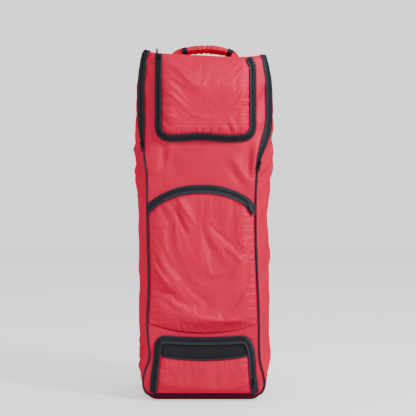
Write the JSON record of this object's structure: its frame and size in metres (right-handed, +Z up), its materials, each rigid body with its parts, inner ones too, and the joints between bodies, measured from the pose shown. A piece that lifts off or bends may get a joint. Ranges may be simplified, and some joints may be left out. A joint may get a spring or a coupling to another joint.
{
  "type": "kit bag",
  "caption": "Tall soft kit bag that stands on its base, with corner zips, a domed top pocket, an arched front pocket, a mesh-vented shoe pocket and a padded grab handle.",
  "frame": {"origin": "middle of the flat base, on the floor", "axes": "+Z up along the bag's height, the front faces -Y, +X to the right of someone who looks at the front"},
  "size_m": [0.3321, 0.3275, 0.8368],
  "materials": {
    "red_cloth": "smooth satin nylon",
    "base_cloth": "coated nylon, in the shade under the bag",
    "black_mesh": "open knitted mesh",
    "zip_tape": "woven polyester tape with a nylon coil",
    "black_binding": "ribbed grosgrain binding",
    "black_piping": "covered piping cord",
    "red_webbing": "flat woven webbing",
    "red_grip_cloth": "padded nylon wrap",
    "slider_metal": "black enamel, worn at the edges",
    "pull_metal": "black enamel, worn at the edges"
  },
  "bodies": {
    "bag": {"front_panel": "red_cloth", "side_panel_right": "red_cloth", "side_panel_left": "red_cloth", "back_panel": "red_cloth", "top_panel": "red_cloth", "base_panel": "base_cloth", "top_pocket_panel": "red_cloth", "middle_pocket_panel": "red_cloth", "shoe_pocket_panel": "red_cloth", "shoe_pocket_mesh": "black_mesh", "shoe_mesh_binding": "black_binding", "top_pocket_zip": "zip_tape", "middle_pocket_zip": "zip_tape", "shoe_pocket_zip": "zip_tape", "main_zip_right": "zip_tape", "main_zip_left": "zip_tape", "front_piping": "black_piping", "handle_webbing": "red_webbing", "handle_grip": "red_grip_cloth", "handle_cuff_left": "black_binding", "handle_cuff_right": "black_binding", "main_zip_right_slider": "slider_metal", "main_zip_left_slider": "slider_metal", "top_pocket_zip_slider": "slider_metal", "middle_pocket_zip_slider": "slider_metal", "shoe_pocket_zip_slider": "slider_metal"},
    "main_right_pull_tab": {"main_zip_right_pull": "pull_metal"},
    "main_left_pull_tab": {"main_zip_left_pull": "pull_metal"},
    "top_pocket_pull_tab": {"top_pocket_zip_pull": "pull_metal"},
    "middle_pocket_pull_tab": {"middle_pocket_zip_pull": "pull_metal"},
    "shoe_pocket_pull_tab": {"shoe_pocket_zip_pull": "pull_metal"}
  },
  "joints": [
    {"name": "main_right_pull_hinge", "type": "hinge", "parent": "bag", "child": "main_right_pull_tab", "pos_m": [0.12817, -0.15072, 0.54777], "axis": [-0.8013, -0.5617, 0.2061], "range_deg": [0, 165]},
    {"name": "main_left_pull_hinge", "type": "hinge", "parent": "bag", "child": "main_left_pull_tab", "pos_m": [-0.14704, -0.14059, 0.59362], "axis": [-0.7146, 0.637, -0.2891], "range_deg": [0, 165]},
    {"name": "top_pocket_pull_hinge", "type": "hinge", "parent": "bag", "child": "top_pocket_pull_tab", "pos_m": [-0.10959, -0.14961, 0.7909], "axis": [0.936, -0.3282, 0.1274], "range_deg": [0, 165]},
    {"name": "middle_pocket_pull_hinge", "type": "hinge", "parent": "bag", "child": "middle_pocket_pull_tab", "pos_m": [0.10331, -0.16363, 0.447], "axis": [-0.7413, -0.4362, -0.5101], "range_deg": [0, 165]},
    {"name": "shoe_pocket_pull_hinge", "type": "hinge", "parent": "bag", "child": "shoe_pocket_pull_tab", "pos_m": [0.11349, -0.16534, 0.04537], "axis": [-0.7895, -0.6024, -0.1179], "range_deg": [0, 165]}
  ]
}
